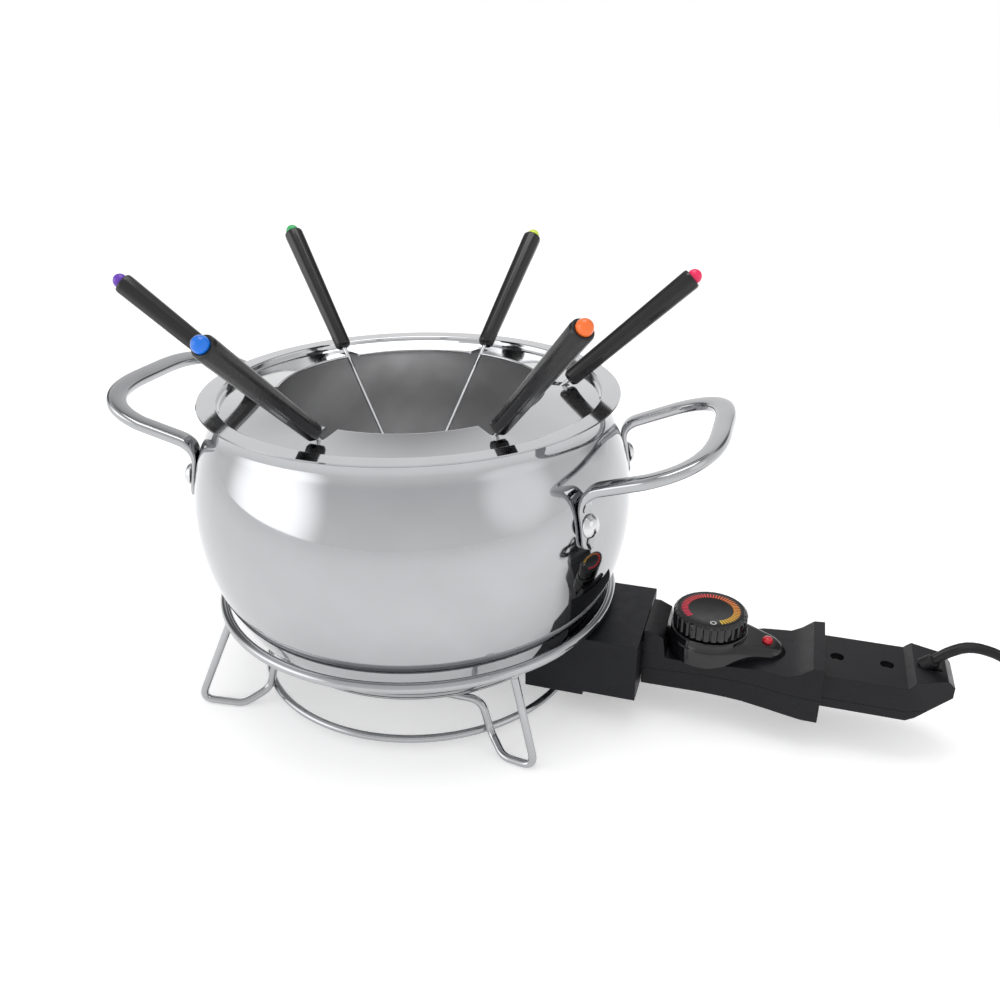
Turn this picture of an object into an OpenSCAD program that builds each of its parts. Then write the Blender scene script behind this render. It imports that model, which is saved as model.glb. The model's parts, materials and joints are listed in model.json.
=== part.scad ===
// Electric fondue pot set: a bulbous steel bowl with a heated base, fixed in a wire
// stand, with a drop-in fork ring, six colour-tipped forks and a plug-in control.
// +Z is up, the origin is on the table under the bowl's axis, and the control
// plugs in along +X. All sizes are in millimetres.

/* [Bowl] */
// Largest outer radius of the bowl
bowl_r = 107; // [106.5:0.1:107.5]
// Thickness of the bowl's wall
bowl_wall = 1; // [0.8:0.1:1.2]
// Height of the fork ring's flange above the table
rim_z = 152; // [151.5:0.1:152.5]

/* [Side handles] */
// How far the outer bar's centre line stands from the bowl's axis
handle_reach = 147.5; // [144:0.5:151]
// Half the distance between a handle's two legs
handle_half = 48; // [46:0.5:50]
// Width of the handle bar
handle_w = 9.4; // [8:0.1:10]
// Thickness of the handle bar
handle_t = 5.2; // [4:0.1:5.6]

/* [Fork ring] */
// Outer radius of the flange that lies on the rim
ring_r = 100; // [97:0.5:101]
// Radius of the opening in the middle
ring_hole_r = 64.3; // [62:0.1:66]
// Thickness of the sheet
ring_t = 0.9; // [0.8:0.05:1]
// Width of a fork slot
slot_w = 6.2; // [5.8:0.1:7]

/* [Forks] */
// Length of steel from the ring down to the points
fork_steel = 125; // [100:1:125]
// Thickness of the steel shaft
fork_d = 2; // [1.6:0.1:2]
// Radius of a handle at its thick end
grip_r = 5.1; // [4.6:0.1:5.4]
// Radius of a coloured ball
ball_r = 3.5; // [3:0.1:3.8]

/* [Stand] */
// Radius of the upper ring's centre line
hoop_r = 99.5; // [99:0.1:100]
// Thickness of the upper ring's wire
hoop_d = 5; // [4:0.1:5]
// Radius of the lower ring's centre line
low_hoop_r = 81.7; // [81.5:0.1:81.9]
// Thickness of the leg wire and the lower ring's wire
leg_d = 3.8; // [3.4:0.1:4]

/* [Control] */
// Radius of the dial
dial_r = 17.6; // [16.5:0.1:17.8]
// Height of the dial's printed face above the table
dial_z = 54; // [53:0.5:55]
// Number of flutes round the dial
dial_flutes = 30; // [20:1:36]
// Diameter of the temperature probe
probe_d = 5; // [4:0.1:5]

/* [Lead] */
// Width of the lead
cord_d = 6; // [5:0.1:6]
// Radius of the coil at the middle of its turns
coil_r = 33; // [30:0.5:35]

/* [Hidden] */
$fn = 96;
gap = 0.3;            // between pieces that move apart
fit = 0.08;           // radial play of a sliding pin
touch = 0.05;         // between pieces that are fixed together
eps = 0.2;            // overlap of shapes inside one piece

// Bowl: two arcs meet at the widest circle, and a hollow arc leads to the rim
wide_z = rim_z - 55;
low_arc_r = 98;
low_arc_a = 40;
high_arc_r = 86;
high_arc_a = 30;
neck_arc_r = 15;
low_c = bowl_r - low_arc_r;
high_c = bowl_r - high_arc_r;
neck_c = high_c + (high_arc_r + neck_arc_r) * cos(high_arc_a);
neck_z = wide_z + (high_arc_r + neck_arc_r) * sin(high_arc_a);
neck_r = neck_c - neck_arc_r;
lip_z = rim_z - ring_t - gap;
floor_z = wide_z - low_arc_r * sin(low_arc_a);
floor_r = low_c + low_arc_r * cos(low_arc_a);

// Base: a steel cup under the bowl that holds the aluminium spreader
base_z = 25;
base_t = 1;
base_bottom_r = 78.5;
base_top_r = floor_r - 1.4;
spreader_r = 74;
heat_z = 30;          // height of the element, the pins and the probe
element_r = 50;
element_d = 6.4;
element_leg_d = 6;
leg_y = 11;           // the element's two ends lie at +leg_y and -leg_y
element_a = asin((leg_y - element_leg_d / 2 - 0.4) / element_r);
element_end = 86;
pin_d = 4.8;
pin_end = 113;
guide_start = 18;
guide_end = 90;
guide_d = probe_d + 1.6;

// Shroud round the terminals
shroud_end = 120.5;
shroud_half = 28.8;
shroud_low = 14;
shroud_high = 44;
shroud_in = 66;
pad_end = 95;
pad_drop = 2;
shroud_wall = 3;
window_half = 17.2;
window_low = 18.6;
window_high = 41;
shroud_screw_x = 72;
shroud_screw_y = 18;

// Stand: two bent wires, each with two feet and a rail under the base
hoop_z = 48.1;
low_hoop_z = 6.3;
leg_r = leg_d / 2;
rail_z = base_z - leg_r - 0.1;
rail_y = 61;
rail_x = 54;
hoop_x = 72;
hoop_y = sqrt(hoop_r * hoop_r - hoop_x * hoop_x);
foot_y = 74.5;
foot_out = [91, 84];  // outer corner of the feet away from and beside the control
foot_in = 68;
clip_x = 20;
clip_len = 10;
clip_ear = 7;
clip_t = 1.2;
clip_screw_y = 6.4;

// Side handles: flat plates lie on the bowl, and the bar climbs away from it
plate_turn = 24.3;    // angle between a plate and the handle's middle
plate_t = 2.6;
plate_gap = 0.2;      // under a plate
plate_low = 101;
plate_high = 118;
rivet_z = 112;
rivet_d = 4;
rivet_head_r = 5.4;
rivet_head_h = 3.2;
rivet_button_r = 3.4;
rivet_button_h = 1.4;
bend_z = 126.8;
bend_run = 9;
curve_x = 125;        // the bar starts to curve in here
curve_y = 47.5;
end_half = 17;        // the outer end is straight between here and its mirror
climb = 0.366;        // rise of the bar for each millimetre outwards
plate_r = high_arc_r + plate_gap + plate_t / 2;

// Fork ring
slot_turn = 21;       // angle of the first slot
slot_end_r = 73.2;
step_r = neck_r - bowl_wall - 0.4;
step_depth = 3.2;

// Forks: each lies in its slot at its own slant, clear of the others
fork_count = 6;
fork_slant = [41.3, 41.9, 47, 40.6, 42.9, 45.5];
fork_swing = [-5, -2.9, 3.5, -10.6, -2, 2.3];
ball_colour = ["#ea2c62", "#d3e04a", "#42b866", "#6a3db0", "#1f75d6", "#f47a3c"];
fork_r = 72;
fork_z = rim_z - 2.3;
grip_start = 5.4;
grip_end = 79.6;
grip_small_r = 4.2;
grip_chamfer = 1.2;
ball_at = 80.4;
tine_len = 22;
tine_y = 1.1;
tine_d = 1;
shaft_in_grip = 26;
neck_w = 3.4;         // flat pressed in the shaft below the ring

// Control: its outline from the side (x, z) and half its width (x, y)
body_x = 121.2;
body_end = 260;
skin = 2;
roof = [[body_x, 45.7], [124.5, 45.7], [130.5, 43], [132, 32], [152, 32.3], [176, 36.4],
    [189, 36.4], [194, 39], [199, 43.2], [204, 43.6], [204, 38.6], [240, 38.6],
    [243, 42], [256.5, 42.2], [body_end, 38.4]];
belly = [[body_x, 15.7], [150, 16.2], [169, 16.7], [182, 16], [197, 14.5], [204, 14.6],
    [204, 21.8], [241, 21.8], [245, 23], [body_end, 33]];
seam = [[body_x - 1, 24.6], [155, 26.4], [173, 27.4], [192, 26.6], [204, 26.6],
    [body_end + 1, 26.6]];
side = [[body_x, 15.4], [150, 15.6], [162, 16.6], [174, 18.4], [186, 20.2], [196, 21.2],
    [204, 21.4], [204, 17.7], [241, 17.7], [245, 16.2], [body_end, 10.5]];
guard_x = 204;        // rear face of the finger guard
dial_x = 150.3;
dial_h = 8;
bezel_r = 18.2;
bezel_top = dial_z - dial_h - 1;
bezel_tip_x = 178.5;
bezel_tip_r = 8.5;
tail_roof = [[130, 43.2], [168, 43.2], [188, 39.4]];
lens_x = 178;
lens_d = 5;
dial_shaft_r = 3;
nose_in = 100;
nose_end = 123.5;
nose_half = 15;
nose_low = 20.2;
nose_high = 39;
sleeve_d = 7.8;
sleeve_len = 18.6;
screw_x = [210, 232];
boss_r = 4.6;
screw_head_r = 2.7;
screw_r = 1.5;
probe_start = 24;
probe_end = 130;

// Lead: route of its centre line from the control to the coil
cord_route = [[247, 0, 41], [251, 0, 45], [256, 0, 50], [263, 0, 54], [271, 0, 54],
    [280, -1, 51], [290, -5, 43], [300, -11, 30], [308, -16, 18], [316, -20, 9],
    [324, -23, 5], [331, -24, 4]];
coil_x = 345;
coil_y = 12;
coil_low = 0.8;
coil_high = 9.8;
tie_t = 0.8;
tie_w = 12;
plug_x = coil_x + coil_r + cord_d / 2;
plug_y = coil_y + 12;
plug_z = 6.2;
plug_neck = 20;
plug_len = 42;
plug_w = 22;
plug_t = 11.6;
blade_x = 6.35;       // blades stand this far from the plug's middle
blade_t = 1.6;
blade_w = 6.4;
blade_len = 17;
blade_in = 6;

function unit(v) = v / norm(v);
function arc(cx, cz, r, a0, a1, n) =
    [for (i = [0:n]) let (a = a0 + (a1 - a0) * i / n) [cx + r * cos(a), cz + r * sin(a)]];
function backward(p) = [for (i = [len(p) - 1:-1:0]) p[i]];
function raised(p, dz) = [for (q = p) [q[0], q[1] + dz]];

// The bowl's outside, moved inwards by d
function bowl_side(d) = concat(
    arc(low_c, wide_z, low_arc_r - d, -low_arc_a, 0, 18),
    arc(high_c, wide_z, high_arc_r - d, 2, high_arc_a, 14),
    arc(neck_c, neck_z, neck_arc_r + d, 178 + high_arc_a, 180, 6));

// A corner at b is rounded over a distance d
function corner(a, b, c, d, n) = bezier(b + unit(a - b) * d, b, b + unit(c - b) * d, n);
function rounded(p, d, n) = [for (i = [0:len(p) - 1])
    each (i == 0 || i == len(p) - 1 ? [p[i]] : corner(p[i - 1], p[i], p[i + 1], d[i], n))];
function heading(p, i) = i == 0 ? unit(p[1] - p[0])
    : i == len(p) - 1 ? unit(p[i] - p[i - 1])
    : unit(unit(p[i + 1] - p[i]) + unit(p[i] - p[i - 1]));
function square_to(n, t) = unit(n - (n * t) * t);
function normals(p, n0) = [for (i = 0, n = square_to(n0, heading(p, 0)); i < len(p);
    i = i + 1, n = i < len(p) ? square_to(n, heading(p, i)) : n) n];
function wire_section(r, n) = [for (i = [0:n - 1]) r * [cos(360 * i / n), sin(360 * i / n)]];
function part_way(x, a, b) = min(1, max(0, (x - a) / (b - a)));
function bezier(a, b, c, n) = [for (i = [0:n]) let (t = i / n)
    (1 - t) * (1 - t) * a + 2 * t * (1 - t) * b + t * t * c];
// Flat on the inside of the bend and rounded on the outside
function bar_section(w, t) = [[-w / 2, -t / 2], [w / 2, -t / 2], [w / 2, 0],
    [w * 0.42, t * 0.3], [w * 0.25, t / 2], [-w * 0.25, t / 2], [-w * 0.42, t * 0.3],
    [-w / 2, 0]];

// A solid swept along a path, with a section and a direction for its second axis at
// each point
module sweep(path, sections, up) {
    n = len(sections[0]);
    m = len(path);
    points = [for (i = [0:m - 1]) let (t = heading(path, i), s = cross(up[i], t))
        for (q = sections[i]) path[i] + q[0] * s + q[1] * up[i]];
    sides = [for (i = [0:m - 2], j = [0:n - 1]) let (k = (j + 1) % n, a = i * n)
        each [[a + j, a + k, a + n + j], [a + k, a + n + k, a + n + j]]];
    caps = [[for (j = [n - 1:-1:0]) j], [for (j = [0:n - 1]) (m - 1) * n + j]];
    polyhedron(points = points, faces = concat(sides, caps));
}

// A round wire; its section starts square to n0
module wire(path, r, n, n0) {
    sweep(path, [for (q = path) wire_section(r, n)], normals(path, n0));
}

// ---------------------------------------------------------------- bowl and base
module bowl() {
    color("#b9bbbe") difference() {
        rotate_extrude() polygon(concat(
            [[0, floor_z]], bowl_side(0), [[neck_r, lip_z], [neck_r - bowl_wall, lip_z]],
            backward(bowl_side(bowl_wall)), [[floor_r - 2, floor_z + bowl_wall + 0.4]],
            [[0, floor_z + bowl_wall + 0.4]]));
        rivet_holes();
        mirror([1, 0, 0]) rivet_holes();
    }
}

module base_cup() {
    top = floor_z - touch;
    color("#a8abae") difference() {
        rotate_extrude() polygon([[0, base_z], [base_bottom_r - 2, base_z],
            [base_bottom_r, base_z + 2], [base_top_r, top], [base_top_r - base_t, top],
            [base_bottom_r - base_t, base_z + 2.4], [base_bottom_r - 2.4, base_z + base_t],
            [0, base_z + base_t]]);
        heater_channels(spreader_r - 2, base_top_r + 3);
        guide_channel(spreader_r - 2, base_top_r + 3);
        fixing_holes();
    }
}

// Channels from x = a to x = b for the element's ends, and for the probe guide
module heater_channels(a, b) {
    for (y = [-leg_y, leg_y]) translate([a, y, heat_z]) rotate([0, 90, 0])
        cylinder(h = b - a, d = element_leg_d + 2 * touch);
}

module guide_channel(a, b) {
    translate([a, 0, heat_z]) rotate([0, 90, 0])
        cylinder(h = b - a, d = guide_d + 2 * touch);
}

module fixing_holes() {
    hole_r = screw_r + touch;
    for (x = [-clip_x, clip_x], y = [-rail_y, rail_y], s = [-1, 1])
        translate([x, y + s * clip_screw_y, 0]) cylinder(h = heat_z, r = hole_r);
    for (y = [-shroud_screw_y, shroud_screw_y])
        translate([shroud_screw_x, y, 0]) cylinder(h = heat_z, r = hole_r);
}

module heat_spreader() {
    color("#c4c4c2") difference() {
        translate([0, 0, base_z + base_t + touch])
            cylinder(h = floor_z - base_z - base_t - 2 * touch, r = spreader_r);
        rotate_extrude() translate([element_r, heat_z]) circle(d = element_d + 2 * touch);
        heater_channels(element_r - 1, spreader_r + 1);
        guide_channel(guide_start - touch, spreader_r + 1);
        fixing_holes();
    }
}

module heating_element() {
    color("#5b5552") union() {
        rotate([0, 0, element_a]) rotate_extrude(angle = 360 - 2 * element_a)
            translate([element_r, heat_z]) circle(d = element_d);
        for (y = [-leg_y, leg_y]) {
            x0 = element_r - 2;
            translate([x0, y, heat_z]) rotate([0, 90, 0])
                cylinder(h = element_end - x0, d = element_leg_d);
        }
    }
}

module terminal_pins() {
    color("#c9a04a") for (y = [-leg_y, leg_y]) translate([element_end + touch, y, heat_z])
        rotate([0, 90, 0]) {
            cylinder(h = pin_end - element_end - 2, d = pin_d);
            translate([0, 0, pin_end - element_end - 2]) cylinder(h = 2, d1 = pin_d, d2 = 2.4);
        }
}

module probe_guide() {
    color("#9c9ea1") translate([guide_start, 0, heat_z]) rotate([0, 90, 0]) difference() {
        cylinder(h = guide_end - guide_start, d = guide_d);
        translate([0, 0, 2]) cylinder(h = guide_end, d = probe_d + 2 * fit);
    }
}

// Space that the bowl and base take, with a little room
module under_bowl() {
    room = 0.5;
    rotate_extrude() polygon(concat([[0, base_z - room], [base_bottom_r + room, base_z - room],
        [floor_r + room, floor_z - 1]], bowl_side(-room), [[0, neck_z]]));
}

module box_x(x0, x1, half, z0, z1) {
    translate([x0, -half, z0]) cube([x1 - x0, 2 * half, z1 - z0]);
}

module connector_shroud() {
    inside_x = guide_end - 2;
    color("#2c2d30") difference() {
        union() {
            box_x(shroud_in, shroud_end, shroud_half, shroud_low, shroud_high);
            box_x(shroud_in, pad_end, shroud_half, shroud_low - pad_drop, shroud_low + eps);
        }
        under_bowl();
        box_x(inside_x, shroud_end - shroud_wall, shroud_half - shroud_wall,
            shroud_low + shroud_wall, shroud_high - shroud_wall);
        box_x(inside_x, shroud_end + 1, window_half, window_low, window_high);
        heater_channels(shroud_in, inside_x + 1);
        guide_channel(shroud_in, inside_x + 1);
        for (y = [-shroud_screw_y, shroud_screw_y]) translate([shroud_screw_x, y, 0]) {
            cylinder(h = base_z, r = screw_r + touch);
            cylinder(h = shroud_low + 3, r = screw_head_r + touch);
        }
    }
}

module shroud_screws() {
    color("#8f9194") for (y = [-shroud_screw_y, shroud_screw_y])
        translate([shroud_screw_x, y, shroud_low]) {
            cylinder(h = 3 - touch, r = screw_head_r);
            cylinder(h = heat_z - shroud_low - 1, r = screw_r);
        }
}

// ---------------------------------------------------------------------- handles
// Path of the right handle's bar from one plate to the other
function handle_path() = let (
        lean = [asin((plate_low - wide_z) / plate_r), asin((plate_high - wide_z) / plate_r)],
        plate = [for (q = arc(high_c, wide_z, plate_r, lean[0], lean[1], 6)) on_turn(q[0], q[1])],
        top = plate[6],
        bend_r = norm([top[0], top[1]]) - (bend_z - plate_high) * tan(lean[1]),
        bend = on_turn(bend_r, bend_z),
        curve = [curve_x, -curve_y, bend_z + climb * (curve_x - bend[0])],
        high_z = bend_z + climb * (handle_reach - bend[0]),
        half = concat(plate, bezier(top, bend, bend + unit(curve - bend) * bend_run, 6),
            bezier(curve, [handle_reach, -handle_half, high_z],
                [handle_reach, -end_half, high_z], 12)),
        once = [for (i = [0:len(half) - 1]) if (i == 0 || norm(half[i] - half[i - 1]) > eps)
            half[i]])
    concat(once, [for (i = [len(once) - 1:-1:0]) [once[i][0], -once[i][1], once[i][2]]]);
function on_turn(r, z) = [r * cos(plate_turn), -r * sin(plate_turn), z];
// 0 on a plate, 1 on the bar
function on_bar(z) = part_way(z, plate_high - 1, bend_z + 1);
// The section's second axis points out of the bowl on a plate and down on the bar
function handle_up(p, i) = let (k = on_bar(p[i][2]))
    square_to((1 - k) * unit([p[i][0], p[i][1], 0]) + k * [climb, 0, -1], heading(p, i));

module side_handle_right() {
    path = handle_path();
    sections = [for (q = path) bar_section(handle_w, plate_t + (handle_t - plate_t) * on_bar(q[2]))];
    color("#c6c8ca") difference() {
        sweep(path, sections, [for (i = [0:len(path) - 1]) handle_up(path, i)]);
        rivet_holes();
    }
}

module side_handle_left() {
    mirror([1, 0, 0]) side_handle_right();
}

// Local +Z points out of the bowl at a rivet, from the middle of the plate
module rivet_place(s) {
    lean = asin((rivet_z - wide_z) / plate_r);
    rotate([0, 0, s * plate_turn]) translate([high_c, 0, wide_z]) rotate([0, 90 - lean, 0])
        translate([0, 0, plate_r]) children();
}

module rivet_holes() {
    for (s = [-1, 1]) rivet_place(s) cylinder(h = 16, d = rivet_d + 2 * touch, center = true);
}

module handle_rivets_right() {
    low = -plate_t / 2 - plate_gap - bowl_wall - 0.15;
    color("#d2d3d4") for (s = [-1, 1]) rivet_place(s) {
        translate([0, 0, low - eps]) cylinder(h = plate_t / 2 + 1 - low, d = rivet_d);
        translate([0, 0, plate_t / 2 + touch]) {
            cylinder(h = 1, r = rivet_head_r);
            translate([0, 0, 1]) cylinder(h = rivet_head_h - 1, r1 = rivet_head_r, r2 = 3.4);
        }
        translate([0, 0, low - rivet_button_h]) cylinder(h = rivet_button_h, r = rivet_button_r);
    }
}

module handle_rivets_left() {
    mirror([1, 0, 0]) handle_rivets_right();
}

// ------------------------------------------------------------------------ stand
module hoop(r, z, d) {
    rotate_extrude() translate([r, z]) circle(d = d);
}

module stand_hoop() {
    color("#c9cbcd") hoop(hoop_r, hoop_z, hoop_d);
}

module stand_lower_hoop() {
    color("#c9cbcd") hoop(low_hoop_r, low_hoop_z, leg_d);
}

// One wire from the hoop down to a foot, along the rail and down to the other foot
function leg_half(out) = let (
        hoop_end = [hoop_x, hoop_y, hoop_z - hoop_d / 2 + 0.8],
        weld = unit([58, 61, 0]) * (low_hoop_r + leg_d - 0.2) + [0, 0, low_hoop_z])
    [[0, rail_y, rail_z], [rail_x, rail_y, rail_z], weld, [foot_in, foot_y - 2.5, leg_r],
     [out, foot_y, leg_r], hoop_end];
function side_of(p, s) = [for (q = p) [s * q[0], -q[1], q[2]]];
function leg_path() = let (
        a = rounded(leg_half(foot_out[0]), [0, 6, 5, 4, 7, 0], 6),
        b = rounded(leg_half(foot_out[1]), [0, 6, 5, 4, 7, 0], 6))
    concat(backward(side_of(a, -1)), [for (i = [1:len(b) - 1]) side_of(b, 1)[i]]);

module leg_wire_front() {
    color("#c9cbcd") wire(leg_path(), leg_r, 10, [0, 0, 1]);
}

module leg_wire_rear() {
    mirror([0, 1, 0]) leg_wire_front();
}

// A strap under the rail with an ear on each side, screwed to the base
module rail_clips() {
    inner_r = leg_r + touch;
    strap_r = inner_r + clip_t;
    color("#8f9194") for (x = [-clip_x, clip_x], y = [-rail_y, rail_y]) translate([x, y, 0])
        difference() {
            union() {
                translate([-clip_len / 2, 0, rail_z]) rotate([0, 90, 0])
                    cylinder(h = clip_len, r = strap_r);
                translate([-clip_len / 2, -clip_ear - 2, base_z - clip_t - touch])
                    cube([clip_len, 2 * clip_ear + 4, clip_t]);
            }
            translate([-clip_len, 0, rail_z]) rotate([0, 90, 0])
                cylinder(h = 2 * clip_len, r = inner_r);
            translate([-clip_len, -clip_len, base_z - touch]) cube(2 * clip_len);
            translate([-clip_len, -inner_r, rail_z]) cube([2 * clip_len, 2 * inner_r, 4]);
            for (s = [-1, 1]) translate([0, s * clip_screw_y, 0])
                cylinder(h = base_z, r = screw_r + touch);
        }
}

module rail_clip_screws() {
    head = base_z - clip_t - 2 * touch;
    color("#8f9194") for (x = [-clip_x, clip_x], y = [-rail_y, rail_y], s = [-1, 1])
        translate([x, y + s * clip_screw_y, head - 1.6]) {
            cylinder(h = 1.6, r = screw_head_r);
            cylinder(h = heat_z - head + 0.4, r = screw_r);
        }
}

// -------------------------------------------------------------- ring and forks
module fork_ring() {
    dip = rim_z - step_depth;
    color("#c2c4c6") difference() {
        rotate_extrude() polygon([[ring_r, rim_z], [step_r - ring_t, rim_z],
            [step_r - ring_t, dip], [ring_hole_r, rim_z], [ring_hole_r, rim_z - ring_t],
            [step_r, dip - ring_t - 0.2], [step_r, rim_z - ring_t], [ring_r, rim_z - ring_t]]);
        for (i = [0:fork_count - 1]) rotate([0, 0, slot_turn + 60 * i]) {
            translate([ring_hole_r - 8, -slot_w / 2, dip - 3])
                cube([slot_end_r - ring_hole_r + 8, slot_w, 10]);
            translate([slot_end_r, 0, dip - 3]) cylinder(h = 10, d = slot_w);
        }
    }
}

// Local +Z runs up fork i from the point where it crosses the ring
module fork_place(i) {
    turn = slot_turn + 60 * i;
    rotate([0, 0, turn]) translate([fork_r, 0, fork_z])
        rotate([0, 90 - fork_slant[i], fork_swing[i]]) children();
}

module fork_shaft(i) {
    split = tine_len - fork_steel;
    color("#d0d1d2") fork_place(i) union() {
        translate([0, 0, split]) cylinder(h = grip_start + shaft_in_grip - split, d = fork_d);
        translate([-0.45, -neck_w / 2, -6]) cube([0.9, neck_w, 5]);
        translate([-tine_d / 2, -tine_y - tine_d / 2, split - 1.4])
            cube([tine_d, 2 * tine_y + tine_d, 2]);
        for (y = [-tine_y, tine_y]) translate([0, y, -fork_steel]) {
            translate([0, 0, 4]) cylinder(h = tine_len - 5, d = tine_d);
            cylinder(h = 4, d1 = 0.3, d2 = tine_d);
        }
    }
}

module fork_grip(i) {
    color("#26272a") fork_place(i) difference() {
        union() {
            translate([0, 0, grip_start])
                cylinder(h = grip_chamfer, r1 = grip_small_r - 1, r2 = grip_small_r);
            translate([0, 0, grip_start + grip_chamfer])
                cylinder(h = grip_end - grip_start - 2 * grip_chamfer, r1 = grip_small_r,
                    r2 = grip_r);
            translate([0, 0, grip_end - grip_chamfer])
                cylinder(h = grip_chamfer, r1 = grip_r, r2 = grip_r - 0.6);
        }
        translate([0, 0, grip_start - 1])
            cylinder(h = shaft_in_grip + 2, d = fork_d + 2 * touch);
        translate([0, 0, ball_at]) sphere(r = ball_r + touch);
    }
}

module fork_ball(i) {
    color(ball_colour[i]) fork_place(i) translate([0, 0, ball_at]) sphere(r = ball_r);
}

// ---------------------------------------------------------------------- control
// The outer form of the control, made smaller by d on every side
module control_form(d) {
    intersection() {
        translate([0, 50, 0]) rotate([90, 0, 0]) linear_extrude(100)
            polygon(concat(raised(roof, -d), backward(raised(belly, d))));
        linear_extrude(100) polygon(concat([for (p = side) [p[0], p[1] - d]],
            backward([for (p = side) [p[0], d - p[1]]])));
    }
}

module control_hollow() {
    intersection() {
        control_form(skin);
        box_x(nose_end, guard_x - skin, 30, 0, 60);
    }
    box_x(guard_x - skin - eps, 240, side[7][1] - skin, roof[10][1] - 15, roof[10][1] - skin);
}

// Everything above the seam
module above_seam() {
    translate([0, 50, 0]) rotate([90, 0, 0]) linear_extrude(100)
        polygon(concat(seam, [[body_end + 1, 80], [body_x - 1, 80]]));
}

module bosses(r) {
    for (x = screw_x) translate([x, 0, 0]) cylinder(h = 60, r = r);
}

module nose_space() {
    box_x(nose_in, nose_end + touch, nose_half - 2 + touch, nose_low - touch, nose_high + touch);
}

module control_top_shell() {
    color("#2a2b2e") difference() {
        intersection() {
            control_form(0);
            above_seam();
        }
        difference() {
            control_hollow();
            bosses(boss_r);
        }
        nose_space();
        bosses(screw_r + touch);
        for (x = screw_x) translate([x, 0, roof[10][1] - 5])
            cylinder(h = 10, r = screw_head_r + 0.3);
        translate([dial_x, 0, seam[0][1]]) cylinder(h = 20, r = dial_shaft_r + gap);
        translate([lens_x, 0, seam[2][1]]) cylinder(h = 30, d = lens_d + 2 * touch);
        cord_hole();
    }
}

module control_bottom_shell() {
    color("#2a2b2e") difference() {
        control_form(0);
        translate([0, 0, -touch]) above_seam();
        difference() {
            control_hollow();
            bosses(boss_r);
        }
        nose_space();
        translate([0, 0, seam[3][1] - 4]) bosses(screw_r + touch);
    }
}

// Slanted hole that the lead comes out of
module cord_hole() {
    translate(cord_route[0]) rotate([0, 45, 0]) translate([-4.6, -4.6, 1]) cube([9.2, 9.2, 14]);
}

module control_nose() {
    color("#1d1e20") difference() {
        union() {
            box_x(nose_in, body_x, nose_half, nose_low, nose_high);
            box_x(body_x - eps, nose_end, nose_half - 2, nose_low, nose_high);
        }
        for (y = [-leg_y, leg_y]) translate([nose_in - 1, y, heat_z]) rotate([0, 90, 0])
            cylinder(h = 40, d = sleeve_d + 2 * touch);
        translate([nose_in - 1, 0, heat_z]) rotate([0, 90, 0])
            cylinder(h = 40, d = probe_d + 2 * touch);
    }
}

module contact_sleeves() {
    color("#c9a04a") for (y = [-leg_y, leg_y]) translate([nose_in + 2, y, heat_z])
        rotate([0, 90, 0]) difference() {
            cylinder(h = sleeve_len, d = sleeve_d);
            translate([0, 0, -1]) cylinder(h = 40, d = pin_d + 2 * fit);
        }
}

module probe_rod() {
    color("#c6c8ca") translate([probe_start, 0, heat_z]) rotate([0, 90, 0]) {
        translate([0, 0, 3]) cylinder(h = probe_end - probe_start - 3, d = probe_d);
        cylinder(h = 3, d1 = probe_d - 2.4, d2 = probe_d);
    }
}

module thermostat() {
    color("#8a6a48") difference() {
        box_x(probe_end - 4, 166, 11, 19.2, 27.6);
        translate([probe_end - 5, 0, heat_z]) rotate([0, 90, 0])
            cylinder(h = 6, d = probe_d + 2 * touch);
        translate([dial_x, 0, 24.8]) cylinder(h = 5, r = dial_shaft_r + gap);
    }
}

// Gloss cover round the dial, with a tail that carries the indicator
module control_bezel() {
    lean = acos((bezel_r - bezel_tip_r) / (bezel_tip_x - dial_x));
    color("#151517") difference() {
        union() {
            intersection() {
                linear_extrude(100) polygon(concat(
                    arc(dial_x, 0, bezel_r + 0.6, lean, 360 - lean, 40),
                    arc(bezel_tip_x, 0, bezel_tip_r, -lean, lean, 12)));
                translate([0, 50, 0]) rotate([90, 0, 0]) linear_extrude(100)
                    polygon(concat(tail_roof, [[188, 20], [130, 20]]));
            }
            translate([dial_x, 0, 40]) cylinder(h = bezel_top - 40, r = bezel_r);
        }
        translate([0, 50, 0]) rotate([90, 0, 0]) linear_extrude(100)
            polygon(concat(raised(roof, touch), [[body_end, 0], [body_x, 0]]));
        translate([dial_x, 0, 0]) cylinder(h = 60, r = dial_shaft_r + gap);
        translate([lens_x, 0, 0]) cylinder(h = 60, d = lens_d + 2 * touch);
    }
}

module indicator_lens() {
    color("#d2202c") translate([lens_x, 0, 39]) {
        cylinder(h = 3.6, d = lens_d);
        translate([0, 0, 3.6]) cylinder(h = 0.8, d1 = lens_d, d2 = lens_d - 1.8);
    }
}

module indicator_lamp() {
    color("#f0a070") translate([lens_x, 0, 29]) {
        cylinder(h = 7, d = 4);
        translate([0, 0, 7]) cylinder(h = 2, d1 = 4, d2 = 1.6);
    }
}

module shell_screws() {
    head_z = roof[10][1] - 5 + touch;
    color("#6d6f72") for (x = screw_x) translate([x, 0, 0]) {
        translate([0, 0, head_z]) cylinder(h = 2, r = screw_head_r);
        translate([0, 0, seam[3][1] - 3.5]) cylinder(h = head_z - seam[3][1] + 4, r = screw_r);
    }
}

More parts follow.
